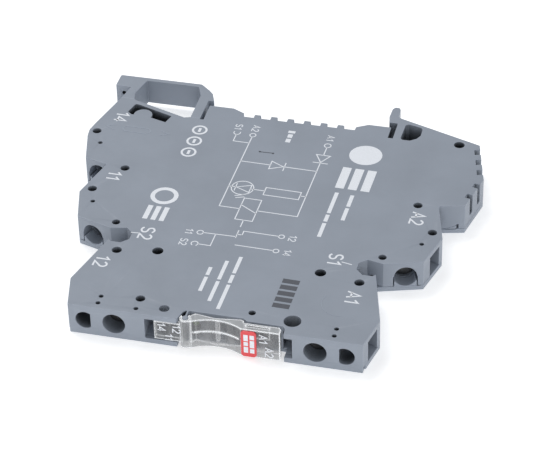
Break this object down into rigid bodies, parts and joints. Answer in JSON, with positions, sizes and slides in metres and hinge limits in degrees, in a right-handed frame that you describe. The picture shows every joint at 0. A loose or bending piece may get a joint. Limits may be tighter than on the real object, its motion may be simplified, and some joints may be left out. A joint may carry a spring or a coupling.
{
  "type": "interface relay module",
  "caption": "Slim flat relay module for a mounting rail, with stepped screw terminals on both sides, a rail latch with a pull loop, a clear front cover and side jumper sockets.",
  "frame": {"origin": "middle of the bounding box in X and Y, on the lower flat side", "axes": "+X across the steps towards the coil terminals, +Y towards the rail foot, +Z through the module's thickness"},
  "size_m": [0.0732, 0.0687, 0.006],
  "materials": {
    "housing": "fine moulded texture",
    "housing_plate": "fine moulded texture",
    "clear_plastic": "clear moulded plastic",
    "red_tag": "printed plastic tag",
    "board": "solder resist",
    "led_lens": "tinted clear epoxy",
    "black_part": "moulded epoxy with tinned ends",
    "relay_plastic": "moulded",
    "relay_case": "smoked clear moulding",
    "cream_plastic": "moulded",
    "copper_wire": "enamelled copper wire",
    "steel": "soft iron, plated",
    "contact_alloy": "copper alloy, tinned",
    "tin": "tinned",
    "screw_steel": "zinc plated",
    "clamp_metal": "nickel plated brass",
    "white_ink": "pad print",
    "dark_ink": "stamped ink"
  },
  "bodies": {
    "housing": {"housing_shell": "housing", "housing_cover": "housing_plate", "circuit_board": "board", "led": "led_lens", "resistor": "black_part", "freewheel_diode": "black_part", "series_diode": "black_part", "relay_base": "relay_plastic", "relay_case": "relay_case", "coil_bobbin": "cream_plastic", "coil_winding": "copper_wire", "coil_core": "steel", "yoke": "steel", "nc_contact": "contact_alloy", "no_contact": "contact_alloy", "relay_pins": "tin", "busbar_a1": "contact_alloy", "busbar_a2": "contact_alloy", "busbar_12": "contact_alloy", "busbar_11": "contact_alloy", "busbar_14": "contact_alloy"},
    "latch": {"rail_latch": "housing"},
    "cover": {"front_cover": "clear_plastic", "label_tag": "red_tag"},
    "armature": {"armature": "steel"},
    "card": {"actuator_card": "cream_plastic"},
    "contact_arm": {"moving_contact": "contact_alloy"},
    "screw_a1": {"clamp_screw_a1": "screw_steel"},
    "cage_a1": {"clamp_cage_a1": "clamp_metal"},
    "screw_a2": {"clamp_screw_a2": "screw_steel"},
    "cage_a2": {"clamp_cage_a2": "clamp_metal"},
    "screw_12": {"clamp_screw_12": "screw_steel"},
    "cage_12": {"clamp_cage_12": "clamp_metal"},
    "screw_11": {"clamp_screw_11": "screw_steel"},
    "cage_11": {"clamp_cage_11": "clamp_metal"},
    "screw_14": {"clamp_screw_14": "screw_steel"},
    "cage_14": {"clamp_cage_14": "clamp_metal"}
  },
  "joints": [
    {"name": "latch_slide", "type": "slide", "parent": "housing", "child": "latch", "axis": [-1, 0, 0], "range_m": [0, 0.0012], "stiffness_N_per_m": 800},
    {"name": "cover_hinge", "type": "hinge", "parent": "housing", "child": "cover", "pos_m": [-0.0049, -0.0336, 0.003], "axis": [0, 0, -1], "range_deg": [0, 30]},
    {"name": "armature_hinge", "type": "hinge", "parent": "housing", "child": "armature", "pos_m": [-0.0012, 0.0073, 0.003], "axis": [0, 0, -1], "range_deg": [0, 4], "stiffness_Nm_per_rad": 0.005},
    {"name": "card_slide", "type": "slide", "parent": "housing", "child": "card", "axis": [1, 0, 0], "range_m": [0, 0.0007]},
    {"name": "contact_hinge", "type": "hinge", "parent": "housing", "child": "contact_arm", "pos_m": [-0.008, 0.0064, 0.003], "axis": [0, 0, -1], "range_deg": [0, 4]},
    {"name": "screw_turn_a1", "type": "hinge", "parent": "housing", "child": "screw_a1", "pos_m": [0.01715, -0.0344, 0.003], "axis": [0, 1, 0], "range_deg": [0, 722]},
    {"name": "cage_lift_a1", "type": "slide", "parent": "housing", "child": "cage_a1", "axis": [0, -1, 0], "range_m": [0, 0.0009]},
    {"name": "screw_turn_a2", "type": "hinge", "parent": "housing", "child": "screw_a2", "pos_m": [0.02776, -0.0116, 0.003], "axis": [-0.2974, 0.9548, 0], "range_deg": [0, 722]},
    {"name": "cage_lift_a2", "type": "slide", "parent": "housing", "child": "cage_a2", "axis": [0.2974, -0.9548, 0], "range_m": [0, 0.0009]},
    {"name": "screw_turn_12", "type": "hinge", "parent": "housing", "child": "screw_12", "pos_m": [-0.01715, -0.0344, 0.003], "axis": [0, 1, 0], "range_deg": [0, 722]},
    {"name": "cage_lift_12", "type": "slide", "parent": "housing", "child": "cage_12", "axis": [0, -1, 0], "range_m": [0, 0.0009]},
    {"name": "screw_turn_11", "type": "hinge", "parent": "housing", "child": "screw_11", "pos_m": [-0.02776, -0.0116, 0.003], "axis": [0.2974, 0.9548, 0], "range_deg": [0, 722]},
    {"name": "cage_lift_11", "type": "slide", "parent": "housing", "child": "cage_11", "axis": [-0.2974, -0.9548, 0], "range_m": [0, 0.0009]},
    {"name": "screw_turn_14", "type": "hinge", "parent": "housing", "child": "screw_14", "pos_m": [-0.0321, 0.00585, 0.003], "axis": [0.2588, 0.9659, 0], "range_deg": [0, 722]},
    {"name": "cage_lift_14", "type": "slide", "parent": "housing", "child": "cage_14", "axis": [-0.2588, -0.9659, 0], "range_m": [0, 0.0009]}
  ],
  "couplings": [
    {"joint": "card_slide", "follows": "armature_hinge", "m_per_rad": 0.0095},
    {"joint": "contact_hinge", "follows": "armature_hinge", "ratio": 0.9135},
    {"joint": "screw_turn_a1", "follows": "cage_lift_a1", "rad_per_m": 13963},
    {"joint": "screw_turn_a2", "follows": "cage_lift_a2", "rad_per_m": 13963},
    {"joint": "screw_turn_12", "follows": "cage_lift_12", "rad_per_m": 13963},
    {"joint": "screw_turn_11", "follows": "cage_lift_11", "rad_per_m": 13963},
    {"joint": "screw_turn_14", "follows": "cage_lift_14", "rad_per_m": 13963}
  ]
}
